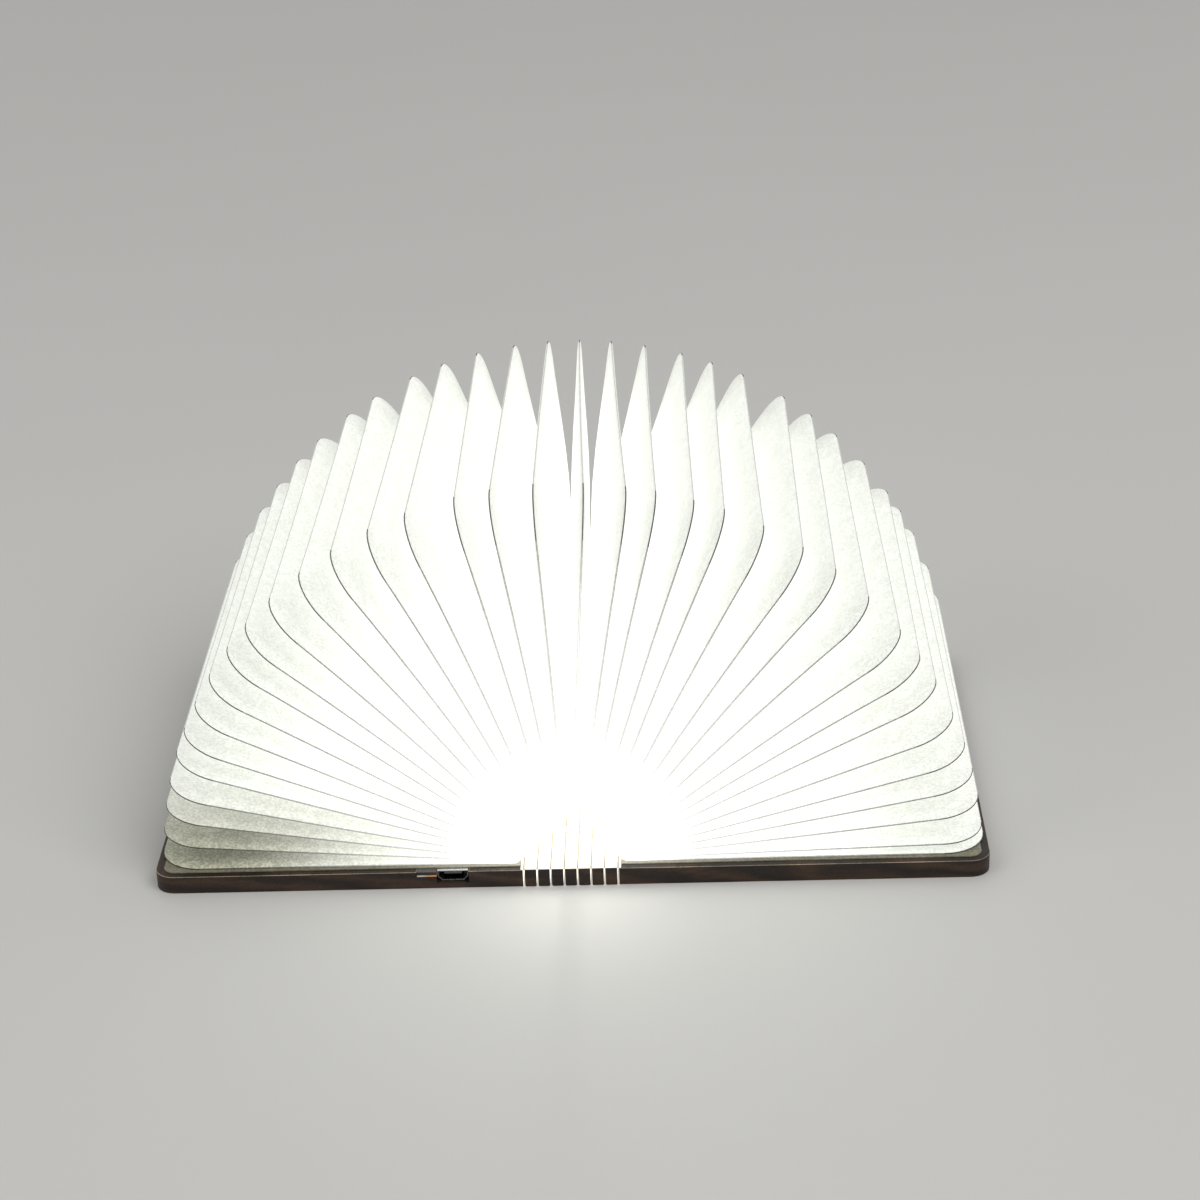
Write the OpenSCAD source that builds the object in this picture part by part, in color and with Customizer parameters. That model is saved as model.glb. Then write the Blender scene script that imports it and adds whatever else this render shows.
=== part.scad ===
// Folding book lamp, lying open and flat on its two wooden covers, with its fan of paper leaves standing.
// The spine between the covers is a row of loose wooden slats on a paper liner, which bends at each slot.
// The origin is under the middle of the spine, on the table. X runs right across the spine,
// Y runs along the spine to the rear, and Z is up. The cover with the electronics is on the left.

/* [Covers] */
// Length of the covers along the spine
cover_len = 122; // [110:1:150]
// Width of one cover, from its hinge line to its fore-edge
cover_w = 91; // [85:1:110]
// Radius of the covers' outer corners
cover_corner_r = 5; // [2:0.5:9]
// Wood left under the pockets, towards the table
skin_t = 1.2; // [0.8:0.1:2]
// How far the endpaper laps onto the wood in front of the electronics bay
paper_lap = 0.6; // [0.4:0.1:2]
// Radius along the slats' lower edges
slat_edge_r = 0.4; // [0.2:0.1:0.8]

/* [Spine] */
// Distance from one slot of the spine to the next
slat_pitch = 3.3; // [3:0.1:4]
// Width of each slot
slot_w = 0.45; // [0.3:0.05:0.8]
// Thickness of the paper liner that joins the slats
liner_t = 0.15; // [0.1:0.05:0.3]
// How far the liner stops short of the slats' ends
liner_inset = 0.2; // [0.1:0.1:1]

/* [Leaves] */
// Thickness of the paper
sheet_t = 0.14; // [0.1:0.01:0.2]
// Air between the two panels of a leaf
panel_gap = 0.05; // [0.02:0.01:0.1]
// Paper joined along the fold at the fore-edge
fold_w = 0.3; // [0.2:0.05:0.6]
// Radius of the leaves' corners at the fore-edge
leaf_corner_r = 10; // [4:0.5:16]
// How far the leaves stop short of the covers' near and rear faces
leaf_end_inset = 3; // [1:0.5:8]
// How far the lowest leaves stop short of the covers' fore-edges
leaf_fore_inset = 0.85; // [0.5:0.05:3]
// Angle between the lowest leaf and its cover
lowest_angle = 0; // [0:0.1:3]
// How much the leaves lean towards their covers; 1 spreads them evenly
leaf_droop = 1.14; // [1:0.02:1.2]
// How far outside the hinge line the lowest leaf starts
root_out = 1.75; // [1.6:0.05:2.5]
// Height of the lowest leaf's root over the cover
root_lift = 1.5; // [1.4:0.05:2]
// Rise of the arch that the roots stand on, over the lowest root
root_rise = 7; // [6:0.1:9]

/* [Endpapers] */
// Thickness of the endpapers glued on the covers
endpaper_t = 0.25; // [0.15:0.05:0.4]
// How far the endpapers stop short of the covers' edges
endpaper_inset = 2; // [0.4:0.1:3]
// Width of the hem that rises to the lowest leaf
hem_w = 0.6; // [0.4:0.05:0.8]
// Gap between the hem and the lowest leaf's root
hem_gap = 0.3; // [0.2:0.05:0.4]

/* [Battery] */
// Width of the cell across the cover
battery_w = 34; // [25:1:40]
// Length of the cell along the spine
battery_len = 50; // [40:1:60]
// Thickness of the cell
battery_t = 2.7; // [2.4:0.1:4]
// Distance of the cell's middle from the spine's middle
battery_x = 36; // [34:1:50]
// Diameter of the wires
wire_d = 0.9; // [0.6:0.1:1.1]

/* [Electronics] */
// Width of the circuit board
pcb_w = 26; // [24:1:30]
// Length of the circuit board
pcb_len = 18; // [17:0.5:22]
// Thickness of the circuit board
pcb_t = 0.8; // [0.6:0.1:1]
// Distance of the charging port from the spine's middle
port_x = 29; // [28:0.5:34]
// Width of the charging port's shell
port_w = 7.5; // [7:0.1:8]
// Height of the charging port's shell
port_h = 2.8; // [2.6:0.1:3]
// Depth of the charging port's shell
port_depth = 5.6; // [5:0.1:6]
// How far the shell's mouth lies behind the near face
port_recess = 1; // [0.3:0.1:1.5]
// Width of the window beside the port that shows the charge
window_w = 4.8; // [3:0.1:5]
// Height of that window
window_h = 1.3; // [0.8:0.1:1.6]

/* [Lid] */
// Thickness of the thin lid over the electronics and the cell
lid_t = 0.5; // [0.4:0.1:0.8]
// Width of the ledge that the lid lies on
ledge_w = 1.5; // [1:0.1:2]

/* [Magnets] */
// Diameter of the magnets near the fore-edges
magnet_d = 10; // [6:0.5:12]
// Thickness of those magnets
magnet_t = 2.8; // [2:0.1:3]
// Diameter of the magnet that works the switch
switch_magnet_d = 6; // [4:0.5:7]
// Distance of the magnets' middles from the fore-edge
magnet_inset = 9; // [8:0.5:14]
// Distance of each magnet from the cover's middle, along the spine
magnet_y = 40; // [20:1:45]

/* [Light] */
// How far the light strip stops short of the covers' near and rear faces
led_inset = 16; // [8:0.5:17]
// Width of the light strip
led_w = 2.6; // [2.2:0.1:2.8]
// Thickness of the light strip's board
led_board_t = 0.8; // [0.4:0.1:1]
// Number of light chips
led_count = 14; // [8:1:18]
// Length of a light chip
chip_len = 2; // [1.6:0.1:3]
// Width of a light chip
chip_w = 1.3; // [1:0.1:1.6]
// Height of a light chip
chip_h = 0.7; // [0.4:0.1:1]

/* [Hidden] */
$fn = 48;
// Air round a piece in its pocket, and over a piece under the lid
fit_gap = 0.2;
// How far cuts run past a face
over = 1;
slat_count = 7;
leaf_count = 36;
mid_slat = (slat_count + 1) / 2;
cover_t = skin_t + battery_t + fit_gap + lid_t;
spine_half = slat_count * slat_pitch / 2;
cover_end = spine_half + cover_w;
near_y = -cover_len / 2;
near_wall = endpaper_inset + paper_lap;
liner_len = cover_len - 2 * liner_inset;

leaf_t = 2 * sheet_t + panel_gap;
leaf_len = cover_len - 2 * leaf_end_inset;
root_half = spine_half + root_out;
leaf_reach = (cover_end - leaf_fore_inset - root_half) / cos(lowest_angle);
arch_r = (root_half * root_half + root_rise * root_rise) / (2 * root_rise);
arch_angle = asin(root_half / arch_r);
arch_z = cover_t + root_lift + root_rise - arch_r;

hem_x = root_half - hem_gap;
pcb_near = near_y + near_wall + fit_gap;
pcb_rear = pcb_near + pcb_len;
cell_seal = 3;
cell_near = pcb_rear + 5;
pcb_z = skin_t + fit_gap / 2;
pcb_top = pcb_z + pcb_t;
port_near = near_y + port_recess;
port_rear = port_near + port_depth;
port_top = cover_t - 0.1;
port_wall = 0.3;
window_x = port_x + port_w / 2 + fit_gap + window_w / 2;
lid_near = port_rear + 0.5;
switch_x = port_x - pcb_w / 2 + 4;
switch_y = pcb_rear - 3.5;
led_len = cover_len - 2 * led_inset;
led_z = cover_t + liner_t;
liner_half = hem_x - hem_w - fit_gap / 2;
leads_w = 2.4;
leads_t = 0.25;
leads_y = pcb_rear - leads_w / 2 - fit_gap;

function two_digits(i) = str(i < 10 ? "0" : "", i);
function leaf_name(i) = str("leaf_", two_digits(i));
function slat_name(i) = str("slat_", i);

// Angle between leaf i and the cover on its side. Leaf 1 is the lowest on the left.
function angle_off_cover(i) =
    let (share = 2 * min(i - 1, leaf_count - i) / (leaf_count - 1))
    lowest_angle + (90 - lowest_angle) * pow(share, leaf_droop);

// Direction of leaf i from its root: 0 is right, 90 up and 180 left
function leaf_angle(i) = i > leaf_count / 2 ? angle_off_cover(i) : 180 - angle_off_cover(i);

// Where leaf i starts on the arch, as X and Z
function leaf_root(i) =
    let (a = arch_angle * (2 * (i - 1) / (leaf_count - 1) - 1))
    [arch_r * sin(a), arch_z + arch_r * cos(a)];

// Shapes that repeat

// A sheet from x0 to x1, as long as len, with its two outer corners rounded by r
module fore_edge_outline(x0, x1, len, r) {
    translate([x0, -len / 2])
        square([x1 - x0 - r, len]);
    translate([x0, r - len / 2])
        square([x1 - x0, len - 2 * r]);
    for (s = [-1, 1])
        translate([x1 - r, s * (len / 2 - r)])
            circle(r);
}

// A block with rounded upright edges
module rounded_block(size, r) {
    linear_extrude(size.z) {
        translate([r, 0])
            square([size.x - 2 * r, size.y]);
        translate([0, r])
            square([size.x, size.y - 2 * r]);
        for (x = [r, size.x - r], y = [r, size.y - r])
            translate([x, y])
                circle(r);
    }
}

// A profile in X and Z, drawn along Y from y0 to y1
module along_spine(y0, y1) {
    translate([0, y1, 0])
        rotate([90, 0, 0])
            linear_extrude(y1 - y0)
                children();
}

// Children on the left, for the cover that is drawn on the right
module on_left() {
    mirror([1, 0, 0])
        children();
}

// The leaves

// One leaf, flat, with its root along Y: two panels folded from one sheet at the fore-edge
module folded_leaf() {
    translate([0, 0, -leaf_t / 2])
        difference() {
            linear_extrude(leaf_t)
                fore_edge_outline(0, leaf_reach, leaf_len, leaf_corner_r);
            translate([-over, -leaf_len, sheet_t])
                cube([leaf_reach - fold_w + over, 2 * leaf_len, panel_gap]);
        }
}

module leaf(i) {
    color("ivory")
        translate([leaf_root(i).x, 0, leaf_root(i).y])
            rotate([0, -leaf_angle(i), 0])
                folded_leaf();
}

// The spine

module slat_profile() {
    w = slat_pitch - slot_w;
    translate([-w / 2, slat_edge_r])
        square([w, cover_t - slat_edge_r]);
    translate([slat_edge_r - w / 2, 0])
        square([w - 2 * slat_edge_r, cover_t]);
    for (s = [-1, 1])
        translate([s * (w / 2 - slat_edge_r), slat_edge_r])
            circle(slat_edge_r);
}

module slat(i) {
    color("saddlebrown")
        translate([(i - mid_slat) * slat_pitch, 0, 0])
            along_spine(-cover_len / 2, cover_len / 2)
                slat_profile();
}

// Paper across the slats, scored halfway through over each slot so that it folds there
module spine_liner() {
    color("white")
        difference() {
            translate([-liner_half, -liner_len / 2, cover_t])
                cube([2 * liner_half, liner_len, liner_t]);
            for (i = [0 : slat_count])
                translate([(i - slat_count / 2) * slat_pitch - slot_w / 4, -liner_len, cover_t - over])
                    cube([slot_w / 2, 2 * liner_len, liner_t / 2 + over]);
        }
}

// The covers

module cover_blank() {
    linear_extrude(cover_t)
        fore_edge_outline(spine_half + slot_w / 2, cover_end, cover_len, cover_corner_r);
}

module magnet_places() {
    for (s = [-1, 1])
        translate([cover_end - magnet_inset, s * magnet_y, port_top - magnet_t])
            children();
}

module magnet_pockets() {
    magnet_places()
        translate([0, 0, -fit_gap / 2])
            cylinder(d = magnet_d + fit_gap, h = cover_t);
}

module switch_magnet_place() {
    translate([switch_x, switch_y, port_top - magnet_t])
        children();
}

// The stepped bay for the circuit board and the cell, drawn on the right, grown by g on each side
module bay_outline(g) {
    translate([port_x - pcb_w / 2 - fit_gap - g, pcb_near - fit_gap])
        square([pcb_w + 2 * fit_gap + 2 * g, cell_near - pcb_near + fit_gap]);
    translate([battery_x - battery_w / 2 - fit_gap - g, cell_near - cell_seal - fit_gap - g])
        square([battery_w + 2 * fit_gap + 2 * g, battery_len + cell_seal + 2 * fit_gap + 2 * g]);
}

// The lid's outline: over the bay and its ledge, from behind the charging port
module lid_outline(gap) {
    intersection() {
        bay_outline(ledge_w - gap);
        translate([0, lid_near + gap])
            square([cover_end, cover_len]);
    }
}

module port_notch() {
    translate([port_x - port_w / 2 - fit_gap, near_y - over, port_top - port_h - fit_gap])
        cube([port_w + 2 * fit_gap, port_rear - near_y + fit_gap + over, cover_t]);
}

module window_notch() {
    translate([window_x - window_w / 2 - fit_gap / 2, near_y - over, cover_t - window_h - fit_gap])
        cube([window_w + fit_gap, near_wall + 2 * over, cover_t]);
}

// The groove that the light strip's leads leave the bay by
module leads_groove() {
    translate([spine_half - over, leads_y - leads_w / 2 - fit_gap, cover_t - lid_t - leads_t - fit_gap])
        cube([port_x - spine_half, leads_w + 2 * fit_gap, cover_t]);
}

module board_left() {
    color("saddlebrown")
        on_left()
            difference() {
                cover_blank();
                magnet_pockets();
                translate([0, 0, skin_t])
                    linear_extrude(cover_t)
                        bay_outline(0);
                translate([0, 0, cover_t - lid_t])
                    linear_extrude(cover_t)
                        lid_outline(0);
                port_notch();
                window_notch();
                leads_groove();
            }
}

module board_right() {
    color("saddlebrown")
        difference() {
            cover_blank();
            magnet_pockets();
            switch_magnet_place()
                translate([0, 0, -fit_gap / 2])
                    cylinder(d = switch_magnet_d + fit_gap, h = cover_t);
        }
}

// The concertina's end panel, glued on the cover, with its hem turned up towards the lowest leaf
module endpaper() {
    translate([0, 0, cover_t])
        linear_extrude(endpaper_t)
            fore_edge_outline(hem_x - hem_w, cover_end - endpaper_inset,
                cover_len - 2 * endpaper_inset, cover_corner_r - endpaper_inset);
    translate([hem_x - hem_w, -leaf_len / 2, cover_t])
        cube([hem_w, leaf_len, root_lift]);
}

module endpaper_right() {
    color("white")
        endpaper();
}

module endpaper_left() {
    color("white")
        on_left()
            difference() {
                endpaper();
                translate([0, leads_y - leads_w / 2 - fit_gap, 0])
                    cube([hem_x + hem_gap, leads_w + 2 * fit_gap, cover_t + liner_t + leads_t + fit_gap]);
            }
}

module pocket_lid() {
    color("burlywood")
        on_left()
            translate([0, 0, cover_t - lid_t])
                linear_extrude(lid_t)
                    lid_outline(fit_gap);
}

// The power

// A pouch cell, with the folded seal and its two tabs at the near end
module battery_cell() {
    color("silver")
        on_left()
            translate([battery_x - battery_w / 2, cell_near, skin_t]) {
                rounded_block([battery_w, battery_len, battery_t], 1.5);
                translate([0.5, -cell_seal, battery_t / 2 - 0.3])
                    cube([battery_w - 1, cell_seal + over, 0.6]);
                for (x = cell_tabs_x())
                    translate([x - 1.5, -cell_seal, battery_t / 2 + 0.3])
                        cube([3, cell_seal, 0.15]);
            }
}

// The two tabs, from the cell's edge nearer to the spine
function cell_tabs_x() = [battery_w / 2 - 9, battery_w / 2 - 2];

// Two wires from the cell's tabs to the circuit board's rear edge
module battery_leads() {
    z = pcb_top + wire_d / 2;
    color("firebrick")
        on_left()
            for (x = cell_tabs_x())
                translate([battery_x - battery_w / 2 + x, pcb_rear - 2, z])
                    rotate([-90, 0, 0])
                        cylinder(d = wire_d, h = cell_near - cell_seal - pcb_rear + 2 - fit_gap, $fn = 24);
}

// The circuit board, cut out round the charging port, with the parts soldered on it
module control_board() {
    x0 = port_x - pcb_w / 2;
    color("darkgreen")
        on_left() {
            difference() {
                translate([x0, pcb_near, pcb_z])
                    cube([pcb_w, pcb_len, pcb_t]);
                translate([port_x - port_w / 2 - fit_gap, near_y, 0])
                    cube([port_w + 2 * fit_gap, port_rear + fit_gap - near_y, cover_t]);
                for (x = [x0 + 1.5, x0 + pcb_w - 1.5])
                    translate([x, pcb_near + 1.5, 0])
                        cylinder(d = 1.4, h = cover_t);
            }
            translate([x0, pcb_near, pcb_top]) {
                // the charger and the light's driver
                translate([pcb_w - 9, 8, 0])
                    cube([5, 4, 1.1]);
                translate([8, 8.5, 0])
                    cube([3, 3, 0.9]);
                // the driver's coil
                translate([14, 10.5, 0])
                    cylinder(d = 4, h = 1.5);
                // small parts beside them
                for (i = [0 : 3])
                    translate([pcb_w - 3.2, 3 + 2.4 * i, 0])
                        cube([1.6, 0.8, 0.6]);
                for (i = [0 : 2])
                    translate([2.2, 3 + 2.2 * i, 0])
                        cube([1.6, 0.8, 0.6]);
            }
        }
}

// The sensor that finds the switch magnet when the book is closed, on its three legs
module hall_sensor() {
    color("black")
        on_left()
            translate([switch_x, switch_y, pcb_top]) {
                translate([-1.5, -0.8, 0.1])
                    cube([3, 1.6, 1]);
                for (p = [[-1, -1.3], [1, -1.3], [0, 0.8]])
                    translate([p.x - 0.2, p.y, 0])
                        cube([0.4, 0.5, 0.3]);
            }
}

// The metal shell's section: wider at the top than at the bottom, as the plug is
module port_section(g) {
    w = port_w / 2 - g;
    polygon([
        [-w, port_h - g], [w, port_h - g], [w, port_h * 0.4],
        [w - 1, g], [1 - w, g], [-w, port_h * 0.4]
    ]);
}

// The socket: the metal shell, closed at the rear, with the contact tongue inside
module charge_port() {
    color("lightgray")
        on_left()
            translate([port_x, 0, port_top - port_h]) {
                difference() {
                    along_spine(port_near, port_rear)
                        port_section(0);
                    along_spine(port_near - over, port_rear - 0.4)
                        port_section(port_wall);
                }
                translate([1.6 - port_w / 2, port_near + 0.8, port_h - port_wall - 1.1])
                    cube([port_w - 3.2, port_depth - 1, 0.6]);
            }
}

// The clear window that carries the charge light from the circuit board to the near face
module charge_window() {
    color("whitesmoke")
        on_left() {
            translate([window_x - window_w / 2, near_y + 0.2, cover_t - window_h - fit_gap / 2])
                cube([window_w, near_wall + 1.6, window_h]);
            translate([window_x - 0.8, pcb_near + 0.4, pcb_top])
                cube([1.6, 1, cover_t - window_h - pcb_top]);
        }
}

// The magnets

module magnets_left() {
    color("gainsboro")
        on_left()
            magnet_places()
                cylinder(d = magnet_d, h = magnet_t);
}

// Two magnets that match those on the left, and the one that works the switch
module magnets_right() {
    color("gainsboro") {
        magnet_places()
            cylinder(d = magnet_d, h = magnet_t);
        switch_magnet_place()
            cylinder(d = switch_magnet_d, h = magnet_t);
    }
}

// The light

module led_board() {
    color("white")
        translate([-led_w / 2, -led_len / 2, led_z])
            cube([led_w, led_len, led_board_t]);
}

module led_chips() {
    step = led_len / led_count;
    color("gold")
        for (i = [0 : led_count - 1])
            translate([0, -led_len / 2 + step * (i + 0.5), led_z + led_board_t])
                translate([-chip_w / 2, -chip_len / 2, 0])
                    cube([chip_w, chip_len, chip_h]);
}

// The flat leads from the circuit board, out of the cover by its groove and over the liner to the strip
module led_leads() {
    x_strip = led_w / 2 + fit_gap / 2;
    x_drop = liner_half + fit_gap / 2;
    x_board = port_x - pcb_w / 2 + 0.4;
    top = cover_t + liner_t;
    low = cover_t - lid_t - leads_t - fit_gap / 2;
    color("peru")
        on_left()
            along_spine(leads_y - leads_w / 2, leads_y + leads_w / 2)
                polygon([
                    [x_strip, top], [x_drop, top], [x_drop + 0.5, low], [x_board - 0.4, low],
                    [x_board, pcb_top], [x_board + 1.6, pcb_top], [x_board + 1.6, pcb_top + leads_t],
                    [x_board + 0.25, pcb_top + leads_t], [x_board - 0.15, low + leads_t],
                    [x_drop + 0.7, low + leads_t], [x_drop + 0.2, top + leads_t],
                    [x_strip, top + leads_t]
                ]);
}

for (i = [1 : leaf_count])
    leaf(i);
for (i = [1 : slat_count])
    slat(i);
board_left();
board_right();
endpaper_left();
endpaper_right();
spine_liner();
pocket_lid();
battery_cell();
battery_leads();
control_board();
charge_port();
charge_window();
hall_sensor();
magnets_left();
magnets_right();
led_board();
led_chips();
led_leads();
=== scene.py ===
"""Looks of the folding book lamp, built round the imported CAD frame. Metres, in the CAD frame."""
import math
from collections import namedtuple

import bmesh
import bpy
import numpy as np
from mathutils import Matrix, Vector


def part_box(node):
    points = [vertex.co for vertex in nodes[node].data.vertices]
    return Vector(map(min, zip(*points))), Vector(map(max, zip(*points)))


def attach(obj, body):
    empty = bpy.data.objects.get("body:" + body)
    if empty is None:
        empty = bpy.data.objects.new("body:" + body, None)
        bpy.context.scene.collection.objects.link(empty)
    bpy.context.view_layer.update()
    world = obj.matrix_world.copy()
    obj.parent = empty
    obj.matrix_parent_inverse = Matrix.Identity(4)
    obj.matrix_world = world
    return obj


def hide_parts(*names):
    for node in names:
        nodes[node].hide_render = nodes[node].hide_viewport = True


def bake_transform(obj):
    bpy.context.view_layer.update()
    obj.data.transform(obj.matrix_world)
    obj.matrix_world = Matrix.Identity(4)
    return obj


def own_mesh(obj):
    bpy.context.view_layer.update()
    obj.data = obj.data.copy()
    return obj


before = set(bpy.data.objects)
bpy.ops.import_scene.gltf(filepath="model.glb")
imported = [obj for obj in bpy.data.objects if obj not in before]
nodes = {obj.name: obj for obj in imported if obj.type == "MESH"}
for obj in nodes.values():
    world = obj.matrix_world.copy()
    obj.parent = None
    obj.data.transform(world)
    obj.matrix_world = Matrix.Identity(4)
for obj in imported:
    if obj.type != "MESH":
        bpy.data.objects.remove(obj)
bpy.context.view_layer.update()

MM = 0.001
LEAF_COUNT = 36
SLAT_PITCH = 3.3 * MM
SLOT_W = 0.45 * MM
COVER_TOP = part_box("slat_4")[1].z
# The bodies from left to right, and the slots between them, which are the spine's hinges
HINGES = [(i - 3.5) * SLAT_PITCH for i in range(8)]


# Materials

looks = {}


class Look:
    """One procedural material on the Principled shader, built from small node helpers."""

    def __init__(self, name):
        self.name = name
        self.material = bpy.data.materials.new(name)
        self.material.use_nodes = True
        self.tree = self.material.node_tree
        self.shader = self.tree.nodes["Principled BSDF"]
        coords = self.tree.nodes.new("ShaderNodeTexCoord")
        self.place = coords.outputs["Object"]
        self.normal = coords.outputs["Normal"]

    def put(self, socket, value):
        """Links a socket to another, or sets its value. A colour is given as three numbers."""
        if isinstance(value, bpy.types.NodeSocket):
            self.tree.links.new(value, socket)
        elif isinstance(value, (tuple, list)) and len(value) == 3 and socket.type == "RGBA":
            socket.default_value = (*value, 1)
        else:
            socket.default_value = value

    def node(self, kind, inputs=(), **settings):
        n = self.tree.nodes.new("ShaderNode" + kind)
        for key, value in settings.items():
            setattr(n, key, value)
        for key, value in dict(inputs).items():
            self.put(n.inputs[key], value)
        return n

    def scaled(self, scale):
        """Object coordinates times scale: an axis with a small number has long features."""
        return self.node("Mapping", {"Vector": self.place, "Scale": scale}).outputs[0]

    def noise(self, scale, detail=4, rough=0.5, at=None, kind="FBM", warp=0):
        """Noise of scale features to a metre."""
        n = self.node("TexNoise", {"Vector": at or self.place, "Scale": scale, "Detail": detail,
                                   "Roughness": rough, "Distortion": warp}, noise_type=kind)
        return n.outputs["Fac"]

    def calc(self, operation, a, b=0, c=0):
        return self.node("Math", {0: a, 1: b, 2: c}, operation=operation).outputs[0]

    def spread(self, value, low, high, to_low=0, to_high=1, kind="SMOOTHSTEP"):
        """The value's range from low to high, stretched over the one from to_low to to_high."""
        return self.node("MapRange", {"Value": value, "From Min": low, "From Max": high, "To Min": to_low,
                                      "To Max": to_high}, interpolation_type=kind).outputs[0]

    def axis(self, which, source=None):
        return self.node("SeparateXYZ", {0: source or self.place}).outputs[which]

    def mix(self, share, a, b, blend="MIX"):
        """Colour a, with that share of colour b."""
        n = self.node("Mix", data_type="RGBA", blend_type=blend)
        self.put(n.inputs[0], share)
        self.put(n.inputs[6], a)
        self.put(n.inputs[7], b)
        return n.outputs[2]

    def bump(self, height, distance, strength=1.0):
        n = self.node("Bump", {"Height": height, "Distance": distance, "Strength": strength})
        self.put(self.shader.inputs["Normal"], n.outputs[0])

    def done(self, **inputs):
        """Sets the shader's inputs, named with _ for a space, and keeps the material under its name."""
        for key, value in inputs.items():
            self.put(self.shader.inputs[key.replace("_", " ")], value)
        looks[self.name] = self.material


# How the light strip lights a paper: fully within full of it, by the share rest beyond faint of it, and
# low on the left by the share low_left less. With low_left set, the paper's colour is also darker there:
# painted shade
Glow = namedtuple("Glow", "full faint rest low_left", defaults=(0.0,))
FAN_GLOW = Glow(50 * MM, 94 * MM, 0.62, 0.82)
EDGE_GLOW = Glow(20 * MM, 92 * MM, 0.0, 0.8)
CORE_GLOW = Glow(6 * MM, 35 * MM, 0.0)
LINER_GLOW = Glow(9 * MM, 16 * MM, 0.3)
ENDPAPER_GLOW = Glow(15 * MM, 50 * MM, 0.0)
STRIP_Z = 8 * MM
# Distances from the middle of the spine between which the light falls off, and the share left at its ends
STRIP_FADE = (35 * MM, 60 * MM)
STRIP_END = 0.82
# The dim lower left of the fan fades out between these heights and between these places along X
LOW_Z = (7 * MM, 28 * MM)
LEFT_X = (-88 * MM, -25 * MM)


def glow_share(look, glow):
    """Share of the strip's light that reaches a place."""
    x, y, z = (look.axis(i) for i in range(3))
    up = look.calc("SUBTRACT", z, STRIP_Z)
    across = look.calc("SQRT", look.calc("ADD", look.calc("MULTIPLY", x, x), look.calc("MULTIPLY", up, up)))
    near = look.spread(across, glow.full, glow.faint, 1, glow.rest)
    ends = look.spread(look.calc("ABSOLUTE", y), *STRIP_FADE, 1, STRIP_END)
    share = look.calc("MULTIPLY", near, ends)
    if glow.low_left:
        share = look.calc("MULTIPLY", share, look.calc("MULTIPLY_ADD", lower_left(look), -glow.low_left, 1))
    return share


def lower_left(look):
    """1 in the lower left of the fan, 0 away from it."""
    low = look.spread(look.axis(2), *LOW_Z, 1, 0)
    left = look.spread(look.axis(0), *LEFT_X, 1, 0)
    return look.calc("MULTIPLY", low, left)


def spun_paper(name, light, dark, glow, tint, strength, core=0.0):
    """Smooth sheet of spun fibres: clouds, fine threads and specks, lit from the strip. Low on the left,
    where less light washes the fibres out, they stand out more, and the colour is darkened and yellowed as
    painted shade."""
    look = Look(name)
    clouds = look.noise(330, 5, 0.6, warp=0.4)
    threads = look.noise(1500, 6, 0.7, kind="RIDGED_MULTIFRACTAL", warp=0.8)
    threads = look.spread(threads, 0.3, 1.5)
    specks = look.noise(1500, 3, 0.65)
    tone = look.calc("MULTIPLY_ADD", threads, 0.5, look.calc("MULTIPLY", clouds, 0.25))
    tone = look.calc("MULTIPLY_ADD", specks, 0.6, tone)
    tone = look.spread(tone, 0.34, 0.52)
    colour = look.mix(tone, dark, light)
    if glow.low_left:
        # Painted shade: low on the left the colour is multiplied darker and yellower
        shade = look.mix(tone, (0.56, 0.55, 0.40), (0.86, 0.85, 0.68))
        colour = look.mix(lower_left(look), colour, look.mix(1.0, colour, shade, "MULTIPLY"))
    grain = look.spread(tone, 0, 1, 0.68, 0.75, "LINEAR")
    level = look.calc("MULTIPLY", glow_share(look, glow), grain)
    if core:
        level = look.calc("MULTIPLY_ADD", glow_share(look, CORE_GLOW), core, level)
    level = look.node("CombineColor", {0: level, 1: level, 2: level}).outputs[0]
    look.bump(tone, 0.06 * MM, 0.7)
    look.done(Base_Color=colour, Roughness=look.spread(tone, 0, 1, 0.62, 0.78, "LINEAR"),
              Emission_Color=look.mix(1.0, tint, level, "MULTIPLY"), Emission_Strength=strength,
              Specular_IOR_Level=0.3)


# Distances from the middle of the spine between which the light in the slots ends
SLOTS_END = (12.2 * MM, 12.6 * MM)


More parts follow.
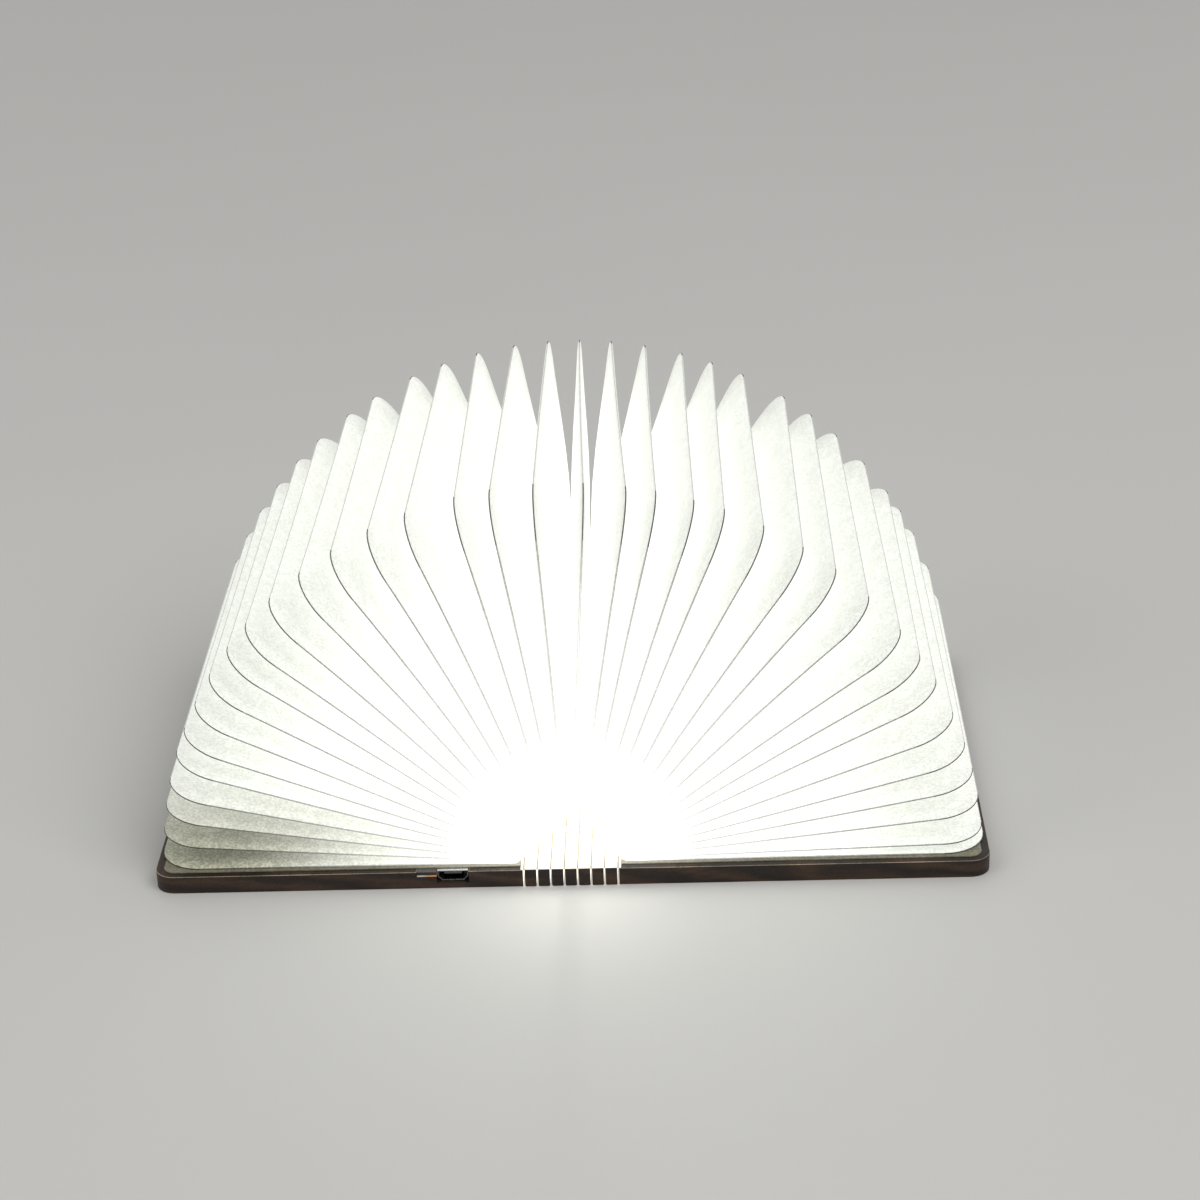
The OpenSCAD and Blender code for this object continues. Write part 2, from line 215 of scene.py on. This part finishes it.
def walnut(name, dark, mid, light, slot_glow=0.0):
    """Oiled walnut with its grain along Y: broad rings, fine streaks and open pores. The sides of the slots
    are lit by slot_glow."""
    look = Look(name)
    sawn = look.scaled((0.35, 0.05, 2.2))
    rings = look.node("TexWave", {"Vector": sawn, "Scale": 60, "Distortion": 9, "Detail": 4,
                                  "Detail Scale": 1.2, "Detail Roughness": 0.6},
                      wave_type="BANDS", bands_direction="DIAGONAL").outputs["Fac"]
    streaks = look.noise(1400, 5, 0.6, at=look.scaled((1, 0.025, 1)))
    pores = look.spread(look.noise(4200, 2, 0.5, at=look.scaled((1, 0.045, 1))), 0.56, 0.7)
    tone = look.calc("MULTIPLY_ADD", streaks, 0.55, look.calc("MULTIPLY", rings, 0.55))
    colour = look.mix(look.spread(tone, 0.15, 0.62), dark, mid)
    colour = look.mix(look.spread(tone, 0.55, 0.95), colour, light)
    colour = look.mix(look.calc("MULTIPLY", pores, 0.6), colour, tuple(0.45 * c for c in dark))
    height = look.calc("MULTIPLY_ADD", pores, -1.0, look.calc("MULTIPLY", tone, 0.4))
    look.bump(height, 0.12 * MM, 0.7)
    inputs = dict(Base_Color=colour, Roughness=look.spread(tone, 0.2, 0.9, 0.46, 0.6),
                  Coat_Weight=0.06, Coat_Roughness=0.4, Specular_IOR_Level=0.3)
    if slot_glow:
        side = look.spread(look.calc("ABSOLUTE", look.axis(0, look.normal)), 0.9, 0.99)
        near = look.spread(look.calc("ABSOLUTE", look.axis(0)), *SLOTS_END, 1, 0)
        ripple = look.spread(look.noise(600, 2), 0.3, 0.7, 0.7, 1)
        level = look.calc("MULTIPLY", look.calc("MULTIPLY", side, near), ripple)
        inputs["Emission_Color"] = look.mix(level, (0, 0, 0), (1.0, 0.95, 0.84))
        inputs["Emission_Strength"] = slot_glow
    look.done(**inputs)


def paperboard(name, dark, light):
    look = Look(name)
    clouds = look.noise(420, 6, 0.62)
    specks = look.noise(3600, 3, 0.6)
    tone = look.calc("MULTIPLY_ADD", specks, 0.3, look.calc("MULTIPLY", clouds, 0.7))
    look.bump(specks, 0.05 * MM, 0.5)
    look.done(Base_Color=look.mix(look.spread(tone, 0.3, 0.7), dark, light), Roughness=0.8,
              Specular_IOR_Level=0.3)


def metal(name, dark, light, brushed, roughness):
    look = Look(name)
    brush = look.noise(2600, 4, 0.6, at=look.scaled(brushed))
    marks = look.noise(500, 3, 0.6)
    look.bump(brush, 0.02 * MM, 0.4)
    look.done(Base_Color=look.mix(marks, dark, light), Metallic=1.0,
              Roughness=look.spread(brush, 0.3, 0.7, *roughness))


def plastic(name, dark, light, roughness=(0.35, 0.5)):
    look = Look(name)
    mottle = look.noise(900, 4, 0.6)
    look.bump(look.noise(5200, 2, 0.5), 0.03 * MM, 0.4)
    look.done(Base_Color=look.mix(mottle, dark, light),
              Roughness=look.spread(mottle, 0.3, 0.7, *roughness))


def light_chip(name):
    """Light chips, bright on their upper faces."""
    look = Look(name)
    face = look.spread(look.axis(2, look.normal), 0.6, 0.9)
    dots = look.spread(look.noise(2600, 3, 0.6), 0.35, 0.65, 0.8, 1)
    level = look.calc("MULTIPLY", face, dots)
    look.done(Base_Color=look.mix(dots, (0.62, 0.5, 0.18), (0.8, 0.68, 0.3)), Roughness=0.4,
              Emission_Color=look.mix(level, (0.3, 0.28, 0.2), (1, 0.96, 0.86)),
              Emission_Strength=12.0)


def charge_window(name):
    """Smoky clear plastic, lit along its lower edge: white on the left and orange on the right."""
    window_h, line_h, fade_h = 1.3 * MM, 0.5 * MM, 0.2 * MM
    look = Look(name)
    low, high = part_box("charge_window")
    wide = high.x - low.x
    down = look.calc("SUBTRACT", high.z, look.axis(2))
    line = look.spread(down, window_h - line_h, window_h - line_h + fade_h)
    # Painted highlight: a pale line along the window's top edge
    top_highlight = look.spread(down, 0.03 * MM, 0.15 * MM, 0.2, 0)
    mottle = look.noise(1500, 3, 0.6)
    hue = look.mix(look.spread(look.axis(0), low.x + 0.3 * wide, low.x + 0.6 * wide),
                   (0.85, 0.74, 0.70), (1.0, 0.38, 0.14))
    level = look.calc("MULTIPLY", line, look.spread(mottle, 0.3, 0.7, 0.75, 1))
    # The painted highlight, or the faint random mottle where that is paler
    highlight_and_mottle = look.calc("MAXIMUM", top_highlight, look.calc("MULTIPLY", mottle, 0.1))
    look.done(Base_Color=look.mix(highlight_and_mottle, (0.012, 0.011, 0.010), (0.4, 0.38, 0.36)),
              Roughness=look.spread(mottle, 0.3, 0.7, 0.4, 0.5),
              Emission_Color=look.mix(level, (0, 0, 0), hue), Emission_Strength=0.55,
              Specular_IOR_Level=0.15)


def port_steel(name):
    """Dark nickel, with a painted highlight along the upper and lower edges of the socket's mouth."""
    look = Look(name)
    low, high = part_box("charge_port")
    middle, half = (low.z + high.z) / 2, (high.z - low.z) / 2
    brush = look.noise(2600, 4, 0.6, at=look.scaled((1, 0.15, 1)))
    height = look.calc("ABSOLUTE", look.calc("SUBTRACT", look.axis(2), middle))
    # Painted highlight along the mouth's upper and lower edges
    mouth_highlight = look.spread(height, half - 0.3 * MM, half - 0.14 * MM)
    look.bump(brush, 0.02 * MM, 0.4)
    look.done(Base_Color=look.mix(mouth_highlight, (0.11, 0.11, 0.115), (0.62, 0.62, 0.63)), Metallic=1.0,
              Roughness=look.spread(brush, 0.3, 0.7, 0.22, 0.34))


FAN_TINT = (0.985, 1.0, 0.975)
EDGE_TINT = (1.0, 0.985, 0.99)
spun_paper("leaf_paper", (0.65, 0.66, 0.615), (0.48, 0.49, 0.44), FAN_GLOW, FAN_TINT, 1.05, core=1.2)
# The cut edges and the fold are coloured darker than the paper: painted shade
spun_paper("leaf_edge_painted_shade", (0.15, 0.15, 0.145), (0.10, 0.10, 0.097), EDGE_GLOW, EDGE_TINT, 0.95, core=1.6)
spun_paper("leaf_fold_painted_shade", (0.46, 0.475, 0.44), (0.38, 0.39, 0.36), FAN_GLOW, FAN_TINT, 0.6)
spun_paper("liner_paper", (0.78, 0.75, 0.66), (0.68, 0.64, 0.55), LINER_GLOW, (1.0, 0.95, 0.82), 0.55)
# The score's dark colour is painted shade in the groove
spun_paper("liner_score_painted_shade", (0.30, 0.26, 0.20), (0.22, 0.19, 0.15), LINER_GLOW, (1.0, 0.92, 0.75), 0.12)
# The endpaper's dark olive brown is painted shade: the sheet lies in the lowest leaf's shade
spun_paper("endpaper", (0.26, 0.245, 0.18), (0.17, 0.16, 0.115), ENDPAPER_GLOW, (1.0, 0.96, 0.85), 0.3)
walnut("walnut", (0.008, 0.0045, 0.003), (0.023, 0.0125, 0.007), (0.050, 0.027, 0.015), 1.6)
# Pale colour for the covers' eased outer edges: a painted highlight
walnut("walnut_edge_highlight", (0.20, 0.15, 0.10), (0.33, 0.26, 0.19), (0.46, 0.38, 0.29))
paperboard("fibreboard", (0.30, 0.21, 0.13), (0.44, 0.33, 0.22))
metal("cell_foil", (0.55, 0.56, 0.58), (0.72, 0.73, 0.75), (1, 0.2, 1), (0.28, 0.42))
plastic("red_wire", (0.42, 0.02, 0.015), (0.58, 0.035, 0.025))
plastic("circuit_board", (0.010, 0.085, 0.035), (0.018, 0.14, 0.06), (0.3, 0.45))
plastic("black_plastic", (0.012, 0.012, 0.013), (0.025, 0.025, 0.027))
metal("magnet_nickel", (0.62, 0.61, 0.58), (0.76, 0.75, 0.72), (1, 1, 1), (0.15, 0.28))
plastic("white_board", (0.70, 0.71, 0.70), (0.80, 0.81, 0.80), (0.4, 0.5))
plastic("flat_cable", (0.64, 0.62, 0.54), (0.74, 0.72, 0.65), (0.3, 0.42))
light_chip("light_chip")
charge_window("clear_window")
port_steel("port_steel")


# Pieces

def add_piece(name, mesh, replaces, body=None):
    """Puts a mesh in the scene as a piece that rides body, or that stays where it is without one."""
    piece = bpy.data.objects.new(name, mesh)
    bpy.context.scene.collection.objects.link(piece)
    if body:
        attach(piece, body)
    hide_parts(replaces)
    return piece


def build_mesh(name, verts, faces, materials, marks, smooth):
    """A smooth mesh that is crisp at edges of more than smooth degrees. marks has each face's material."""
    mesh = bpy.data.meshes.new(name)
    mesh.from_pydata(verts, [], faces)
    for material in materials:
        mesh.materials.append(looks[material])
    mesh.polygons.foreach_set("material_index", np.asarray(marks, np.int32))
    soften(mesh, smooth)
    mesh.validate()
    mesh.update()
    bm = bmesh.new()
    bm.from_mesh(mesh)
    bmesh.ops.recalc_face_normals(bm, faces=bm.faces)
    bm.to_mesh(mesh)
    bm.free()
    return mesh


def soften(mesh, smooth):
    mesh.polygons.foreach_set("use_smooth", np.ones(len(mesh.polygons), bool))
    mesh.set_sharp_from_angle(angle=math.radians(smooth))


def tube_sides(n, rings):
    """Faces round a tube through that many rings of n points each."""
    return [(c * n + r, c * n + (r + 1) % n, (c + 1) * n + (r + 1) % n, (c + 1) * n + r)
            for c in range(rings - 1) for r in range(n)]


def tube_ends(n, rings):
    return [tuple(range(n)), tuple((rings - 1) * n + r for r in reversed(range(n)))]


def copied_mesh(node, materials):
    mesh = nodes[node].data.copy()
    mesh.materials.clear()
    for material in materials:
        mesh.materials.append(looks[material])
    return mesh


# The leaves: pockets of two panels folded from one sheet, pressed together at their edges and bowed apart

SHEET_T = 0.14 * MM
CORNER_R = 10 * MM
RIM_T = 0.33 * MM
BELLY_MAX = 5.6 * MM
# Thickness of the paper at the fold, and half the gap between the sheets where they are pressed together
FOLD_T = 0.2 * MM
HALF_GAP = 0.02 * MM
# Share of the room between its neighbours that a belly fills at the root, and how much less it is beyond
FILL = 0.97
FILL_LESS = 0.10
FILL_FADE = 18 * MM
# A belly grows over FOLD_SLOPE from the fold, with a round first share of it over FOLD_ROUND, and over
# EDGE_ROUND from the cut edges. The root is open, and closes down to the belly over ROOT_OPEN
FOLD_SLOPE = 36 * MM
FOLD_ROUND = 4 * MM
FOLD_FIRST = 0.16
EDGE_ROUND = 18 * MM
ROOT_OPEN = 16 * MM
# Points of a section, as shares of the panels' reach and as angles round the fold
ROWS = np.array([0, 0.03, 0.07, 0.13, 0.21, 0.30, 0.39, 0.48, 0.57,
                 0.66, 0.75, 0.83, 0.895, 0.94, 0.97, 0.987, 0.996, 1])
FOLD_TURN = np.radians([30, 90, 150])
# Sections round each corner, and between the corners
CORNER_STEPS = 10
INNER_STEPS = 17
# Degrees by which each leaf stands higher than its solid, from left to right, and how much more so at its
# rear corner than at its middle: the paper bends, as photographed
LEAN = (-0.68, -0.3, -0.45, -1.0, -1.0, -1.7, -1.9, -2.0, -2.0, -2.3, -2.5, -1.7,
        -1.8, -0.8, -0.9, 0.0, -0.3, -0.4, 0.3, 0.7, 1.8, 1.8, 2.8, 2.7,
        1.1, 1.0, 0.5, -1.1, -1.5, -0.5, -0.7, -1.7, -2.0, -2.15, -2.7, -0.68)
TWIST = (0.0, 0.0, 0.0, 0.1, 0.1, 0.4, 0.6, 0.65, 0.65, 1.1, 0.9, 1.2,
         0.8, 1.3, 1.0, 0.0, 0.6, 0.1, 1.2, 1.8, 1.1, 0.8, 0.5, 1.0,
         0.3, 0.6, 1.3, 1.6, 0.7, 1.2, 2.0, 1.2, 0.4, 0.0, 0.0, 0.0)
# Millimetres by which the paper hangs below its solid beside the spine, from the lowest leaf to the middle
HANG = (1.05, 1.4, 1.75, 2.1, 2.5, 2.9, 3.3, 3.7, 4.0, 4.2, 4.2, 4.0, 3.6, 3.1, 2.5, 1.8, 1.1, 0.4)

LeafFrame = namedtuple("LeafFrame", "root along normal reach half")


def leaf_frame(node):
    """Root point, direction and normal of a CAD leaf in the XZ plane, its reach and its half length."""
    co = np.array([v.co for v in nodes[node].data.vertices])
    flat = co[:, [0, 2]]
    middle = (flat.min(0) + flat.max(0)) / 2
    along = np.linalg.svd(flat - flat.mean(0), full_matrices=False)[2][0]
    if along @ middle < 0:
        along = -along
    s = flat @ along
    normal = np.array([-along[1], along[0]])
    h = flat @ normal
    root = along * s.min() + normal * (h.min() + h.max()) / 2
    return LeafFrame(root, along, normal, s.max() - s.min(), np.abs(co[:, 1]).max())


FRAMES = [leaf_frame(f"leaf_{i:02d}") for i in range(1, LEAF_COUNT + 1)]


def smooth_step(t):
    t = np.clip(t, 0, 1)
    return t * t * (3 - 2 * t)


def round_step(t):
    """From 0 to 1 along a quarter of a circle."""
    t = np.clip(t, 0, 1)
    return np.sqrt(1 - (1 - t) ** 2)


def warp_of(k, u, v):
    """How far the middle of leaf k stands off its plane, at share u of its reach and v of its half length.
    It leans and hangs, and bows and curls a little, each leaf in its own way."""
    side = 1 if k >= LEAF_COUNT / 2 else -1
    rank = min(k, LEAF_COUNT - 1 - k)
    bow = 0.35 * math.sin(0.31 * k + 0.6)
    curl = 0.30 * math.sin(0.37 * k + 4.0)
    shape = bow * np.sin(np.pi * u) + curl * u ** 2 * v * v
    lean = FRAMES[k].reach / MM * math.tan(math.radians(LEAN[k] + TWIST[k] * v)) * u ** 1.15
    hang = HANG[rank] * np.maximum(1 - u, 0) ** (1 + 0.5 * smooth_step(rank / 9))
    return MM * (shape * smooth_step(rank / 3.0) + side * (lean - hang))


def middle_line(k, s, v):
    """Points in the XZ plane on the middle of leaf k, at distances s from its root."""
    leaf = FRAMES[k]
    return leaf.root + np.outer(s, leaf.along) + np.outer(warp_of(k, s / leaf.reach, v), leaf.normal)


def room_of(k, s, v):
    """Distance from the middle of leaf k to the nearer of its neighbours' middles."""
    here = middle_line(k, s, v)
    room = np.full(len(s), 1.0)
    for j in (k - 1, k + 1):
        if 0 <= j < LEAF_COUNT:
            line = middle_line(j, np.linspace(0, FRAMES[j].reach, 50), v)
            start, step = line[:-1], np.diff(line, axis=0)
            along = ((here[:, None] - start) * step).sum(2) / (step ** 2).sum(1)
            foot = start + np.clip(along, 0, 1)[..., None] * step
            room = np.minimum(room, np.sqrt(((here[:, None] - foot) ** 2).sum(2)).min(1))
    return room


def half_thickness(k, s, to_fold, y):
    """Half the thickness of the pocket at distances s from its root and to_fold from its fold. It is
    fullest inside, where it takes up most of the room between its neighbours, and open at the root."""
    half = FRAMES[k].half
    fill = FILL - FILL_LESS * smooth_step(s / FILL_FADE)
    slope = np.clip(to_fold / FOLD_SLOPE, 0, 1) ** 1.15
    bowed = FOLD_FIRST * round_step(to_fold / FOLD_ROUND) + (1 - FOLD_FIRST) * slope
    bowed = bowed * round_step((half - abs(y)) / EDGE_ROUND)
    bowed = np.maximum(bowed, 1 - smooth_step(s / ROOT_OPEN))
    full = np.minimum(fill * room_of(k, s, y / half), BELLY_MAX)
    half_t = (RIM_T + np.maximum(full - RIM_T, 0) * bowed) / 2
    half_t[-1] = RIM_T / 2
    return half_t


def pocket_section(k, y, end):
    """Ring of points at y, as distance from the root and height: over the upper sheet, round the fold at
    end, back under the lower sheet, and then along the inside of both."""
    nose_r = RIM_T / 2
    straight = end - nose_r
    s = ROWS * straight
    half_t = half_thickness(k, s, straight - s, y)
    # The outermost leaves lie flat on the covers
    above = np.full(len(s), nose_r) if k == 0 else half_t
    below = np.full(len(s), nose_r) if k == LEAF_COUNT - 1 else half_t
    s_in = np.minimum(s, straight - FOLD_T)
    inner_above, inner_below = (np.maximum(t - SHEET_T, HALF_GAP) for t in (above, below))
    fold = [(straight + nose_r * math.sin(a), nose_r * math.cos(a)) for a in FOLD_TURN]
    return [*zip(s, above), *fold, *zip(s[::-1], -below[::-1]),
            *zip(s_in, -inner_below), *zip(s_in[::-1], inner_above[::-1])]


def pocket_faces(count):
    """Faces of a pocket of that many sections, and the look of each: 0 paper, 1 cut edge, 2 fold, the last
    two darker as painted shade.
    """
    rows, fold = len(ROWS), len(FOLD_TURN)
    n = 4 * rows + fold
    faces, marks = tube_sides(n, count), []
    for c in range(count - 1):
        in_corner = c < CORNER_STEPS - 1 or c >= count - CORNER_STEPS
        for r in range(n):
            at_fold = rows - 1 <= r < rows + fold
            marks.append((1 if in_corner else 2) if at_fold else 0)
    top_in = [n - 1 - r for r in range(rows)]
    bottom_out = [rows + fold + r for r in range(rows)]
    bottom_in = [3 * rows + fold - 1 - r for r in range(rows)]
    closing = []
    for r in range(rows - 1):
        closing.append((r, r + 1, top_in[r + 1], top_in[r]))
        closing.append((bottom_out[r], bottom_out[r + 1], bottom_in[r + 1], bottom_in[r]))
    closing.append((*range(rows - 1, rows + fold), bottom_out[0], bottom_in[0], top_in[-1]))
    for base, way in ((0, 1), ((count - 1) * n, -1)):
        faces += [tuple(base + i for i in face)[::way] for face in closing]
        marks += [1] * len(closing)
    return faces, marks


def build_leaf(k):
    node = f"leaf_{k + 1:02d}"
    root, along, normal, reach, half = FRAMES[k]
    arcs = np.linspace(math.pi / 2, 0, CORNER_STEPS)
    corner_y = half - CORNER_R + CORNER_R * np.sin(arcs)
    corner_end = reach - CORNER_R + CORNER_R * np.cos(arcs)
    inner = np.linspace(half - CORNER_R, -(half - CORNER_R), INNER_STEPS)[1:-1]
    ys = np.concatenate([-corner_y, -inner, corner_y[::-1]])
    ends = np.concatenate([corner_end, np.full(len(inner), reach), corner_end[::-1]])
    verts = []
    for y, end in zip(ys, ends):
        for s, height in pocket_section(k, y, end):
            x, z = root + along * s + normal * (height + float(warp_of(k, s / reach, y / half)))
            verts.append((x, y, z))
    faces, marks = pocket_faces(len(ys))
    mesh = build_mesh(f"paper_{node}", verts, faces, ["leaf_paper", "leaf_edge_painted_shade", "leaf_fold_painted_shade"], marks, 40)
    piece = add_piece(f"paper_{node}", mesh, node, body=node)
    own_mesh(piece)


# The spine's liner and the flat leads: one strip over each slot

def bend_over(piece):
    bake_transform(piece)


def spine_liner():
    """The liner in eight strips, each with a score that dips into its slot, coloured dark as painted shade.
    """
    low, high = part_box("spine_liner")
    thick = high.z - low.z
    ys = np.linspace(low.y, high.y, 25)
    dip = [(-0.34, 0), (-0.2, 0.05), (-0.07, 0.13), (0.07, 0.13), (0.2, 0.05), (0.34, 0)]
    # These faces of the dip take the dark liner colour: painted shade
    score = (2, 3, 4)
    for i, x in enumerate(HINGES):
        left = low.x if i == 0 else x - SLAT_PITCH / 2
        right = high.x if i == len(HINGES) - 1 else x + SLAT_PITCH / 2
        top = [(left, high.z)] + [(x + a * MM, high.z - b * MM) for a, b in dip] + [(right, high.z)]
        profile = top + [(a, b - thick) for a, b in reversed(top)]
        n = len(profile)
        verts = [(a, y, b) for y in ys for a, b in profile]
        faces = tube_sides(n, len(ys)) + tube_ends(n, len(ys))
        marks = [int(r in score) for c in range(len(ys) - 1) for r in range(n)] + [0, 0]
        name = f"liner_fold_{i + 1}"
        mesh = build_mesh(name, verts, faces, ["liner_paper", "liner_score_painted_shade"], marks, 30)
        bend_over(add_piece(name, mesh, "spine_liner"))


def light_leads():
    """The flat cable from the light strip in four strips, with two ribs along it. The last strip goes over
    the left cover's edge, along a ledge and down into its pocket."""
    low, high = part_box("led_leads")
    mid_y, half = (low.y + high.y) / 2, (high.y - low.y) / 2
    top, ledge_z, pocket_z = COVER_TOP + 0.15 * MM, 3.75 * MM, 2.1 * MM
    into_cover = [(-12.4 * MM, top), (-12.9 * MM, ledge_z), (-16.0 * MM, ledge_z), (-16.4 * MM, pocket_z),
                  (low.x, pocket_z)]
    ribs = [(-1, 0), (-1, 0.16), (-0.72, 0.16), (-0.66, 0.25), (-0.2, 0.25), (-0.14, 0.16), (0.14, 0.16),
            (0.2, 0.25), (0.66, 0.25), (0.72, 0.16), (1, 0.16), (1, 0)]
    n = len(ribs)
    for part, hinge in enumerate((3, 2, 1, 0)):
        start = high.x if part == 0 else -part * SLAT_PITCH
        line = [(start, top)] + (into_cover if hinge == 0 else [(-(part + 1) * SLAT_PITCH, top)])
        points = []
        for (xa, za), (xb, zb) in zip(line, line[1:]):
            points += [(xa + (xb - xa) * t, za + (zb - za) * t) for t in np.linspace(0, 1, 5)[:-1]]
        points.append(line[-1])
        verts = [(x, mid_y + a * half, z + b * MM) for x, z in points for a, b in ribs]
        faces = tube_sides(n, len(points)) + tube_ends(n, len(points))
        name = f"leads_fold_{part + 1}"
        mesh = build_mesh(name, verts, faces, ["flat_cable"], [0] * len(faces), 30)
        bend_over(add_piece(name, mesh, "led_leads"))


# The covers and the endpapers: copies of their solids

EASE_W = 0.32 * MM
COVER_CORNER = 5.5 * MM
TOUCH = 0.01 * MM
ENDPAPER_T = 0.25 * MM
FLAP_SHARE = 0.04


def on_outline(edge, half_x, half_y):
    """True for the long edges round a cover's outside, above and below."""
    a, b = (v.co for v in edge.verts)
    inner_x = HINGES[-1] + SLOT_W / 2
    outer = all(abs(c.y) > half_y - COVER_CORNER or abs(c.x) > half_x - COVER_CORNER
                or abs(abs(c.x) - inner_x) < TOUCH for c in (a, b))
    return abs(a.z - b.z) < TOUCH and outer and (a.z < TOUCH or abs(a.z - COVER_TOP) < TOUCH)


def eased_cover(node, name, body):
    """A cover with its outer edges eased and coloured pale there as a painted highlight."""
    mesh = copied_mesh(node, ["walnut", "walnut_edge_highlight"])
    low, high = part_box(node)
    half_x, half_y = max(-low.x, high.x), high.y
    bm = bmesh.new()
    bm.from_mesh(mesh)
    bmesh.ops.remove_doubles(bm, verts=bm.verts, dist=1e-6)
    bmesh.ops.dissolve_limit(bm, angle_limit=math.radians(1), verts=bm.verts, edges=bm.edges)
    for face in bm.faces:
        face.material_index = 0
    crisp = [e for e in bm.edges if len(e.link_faces) == 2 and e.calc_face_angle(0) > math.radians(35)
             and on_outline(e, half_x, half_y)]
    # The eased edges take the pale walnut: a painted highlight
    bmesh.ops.bevel(bm, geom=crisp, offset=EASE_W, segments=3, profile=0.5, affect="EDGES",
                    clamp_overlap=True, material=1)
    bmesh.ops.recalc_face_normals(bm, faces=bm.faces)
    bm.to_mesh(mesh)
    bm.free()
    soften(mesh, 30)
    add_piece(name, mesh, node, body=body)


def flat_endpaper(node, body):
    """The endpaper with the strip along the spine lying flat, as the lowest leaf's paper does."""
    mesh = copied_mesh(node, ["endpaper"])
    top = COVER_TOP + ENDPAPER_T
    for vertex in mesh.vertices:
        if vertex.co.z > top + TOUCH:
            vertex.co.z = top + FLAP_SHARE * (vertex.co.z - top)
    add_piece("sheet_" + node, mesh, node, body=body)


for leaf_index in range(LEAF_COUNT):
    build_leaf(leaf_index)
spine_liner()
light_leads()
eased_cover("board_left", "walnut_cover_left", "left_cover")
eased_cover("board_right", "walnut_cover_right", "right_cover")
flat_endpaper("endpaper_left", "left_cover")
flat_endpaper("endpaper_right", "right_cover")


# CAD nodes that keep their shape

KEPT = {
    "walnut": [f"slat_{i}" for i in range(1, 8)],
    "fibreboard": ["pocket_lid"],
    "cell_foil": ["battery_cell"],
    "red_wire": ["battery_leads"],
    "circuit_board": ["control_board"],
    "port_steel": ["charge_port"],
    "clear_window": ["charge_window"],
    "black_plastic": ["hall_sensor"],
    "magnet_nickel": ["magnets_left", "magnets_right"],
    "white_board": ["led_board"],
    "light_chip": ["led_chips"],
}
for look_name, names in KEPT.items():
    for name in names:
        data = nodes[name].data
        data.materials.clear()
        data.materials.append(looks[look_name])


# Floor, light and camera

FLOOR_HALF = 40


def stage_floor():
    mesh = bpy.data.meshes.new("floor")
    corners = [(x * FLOOR_HALF, y * FLOOR_HALF, 0) for x, y in ((-1, -1), (1, -1), (1, 1), (-1, 1))]
    mesh.from_pydata(corners, [], [(0, 1, 2, 3)])
    floor = bpy.data.objects.new("floor", mesh)
    bpy.context.scene.collection.objects.link(floor)
    look = Look("floor")
    mottle = look.noise(3, 3, 0.5)
    look.done(Base_Color=look.mix(mottle, (0.56, 0.555, 0.54), (0.60, 0.595, 0.58)), Roughness=0.55)
    mesh.materials.append(looks["floor"])


def area_lamp(name, place, target, size, watts):
    data = bpy.data.lights.new(name, "AREA")
    data.shape = "SQUARE"
    data.size = size
    data.energy = watts
    lamp = bpy.data.objects.new(name, data)
    bpy.context.scene.collection.objects.link(lamp)
    lamp.location = place
    lamp.rotation_euler = (Vector(target) - Vector(place)).to_track_quat("-Z", "Y").to_euler()


def sky(level, backdrop):
    """Soft white light of that level from all sides. Seen, mirrored or through glass it is the backdrop."""
    world = bpy.data.worlds.new("studio")
    bpy.context.scene.world = world
    world.use_nodes = True
    tree = world.node_tree
    tree.nodes.clear()
    out = tree.nodes.new("ShaderNodeOutputWorld")
    path = tree.nodes.new("ShaderNodeLightPath")
    seen = tree.nodes.new("ShaderNodeBackground")
    seen.inputs["Color"].default_value = (*backdrop, 1)
    lit = tree.nodes.new("ShaderNodeBackground")
    lit.inputs["Color"].default_value = (1, 0.995, 0.985, 1)
    lit.inputs["Strength"].default_value = level
    mirrored = tree.nodes.new("ShaderNodeMath")
    mirrored.operation = "MAXIMUM"
    any_of = tree.nodes.new("ShaderNodeMath")
    any_of.operation = "MAXIMUM"
    mix = tree.nodes.new("ShaderNodeMixShader")
    links = tree.links
    links.new(path.outputs["Is Camera Ray"], mirrored.inputs[0])
    links.new(path.outputs["Is Glossy Ray"], mirrored.inputs[1])
    links.new(mirrored.outputs[0], any_of.inputs[0])
    links.new(path.outputs["Is Transmission Ray"], any_of.inputs[1])
    links.new(any_of.outputs[0], mix.inputs[0])
    links.new(lit.outputs[0], mix.inputs[1])
    links.new(seen.outputs[0], mix.inputs[2])
    links.new(mix.outputs[0], out.inputs["Surface"])


# The photograph's camera, fitted to the slots, the covers' ends and the leaves' corners
PHOTO_PX = 1200
FOCAL_PX = 3002.2
SENSOR_MM = 36
CAMERA_AT = Vector((30.3, -698.6, 372.2)) * MM
PITCH, YAW, ROLL = (math.radians(a) for a in (24.84, -1.86, -2.14))


def photo_camera():
    forward = Vector((math.sin(YAW) * math.cos(PITCH), math.cos(YAW) * math.cos(PITCH), -math.sin(PITCH)))
    level = Vector((math.cos(YAW), -math.sin(YAW), 0))
    up = level.cross(forward)
    right = math.cos(ROLL) * level + math.sin(ROLL) * up
    up = math.cos(ROLL) * up - math.sin(ROLL) * level
    data = bpy.data.cameras.new("photo_camera")
    data.sensor_width = SENSOR_MM
    data.lens = SENSOR_MM * FOCAL_PX / PHOTO_PX
    data.clip_start = 0.01
    camera = bpy.data.objects.new("photo_camera", data)
    bpy.context.scene.collection.objects.link(camera)
    turn = Matrix((right, up, -forward)).transposed().to_4x4()
    camera.matrix_world = Matrix.Translation(CAMERA_AT) @ turn
    bpy.context.scene.camera = camera


FAN_MIDDLE = (0, 0, 0.04)
stage_floor()
area_lamp("key", (0.8, -0.8, 1.3), FAN_MIDDLE, 1.1, 13)
area_lamp("fill", (-1.1, -0.6, 0.9), FAN_MIDDLE, 0.9, 4)
sky(0.45, (0.80, 0.80, 0.79))
photo_camera()
bpy.context.scene.view_settings.view_transform = "Standard"
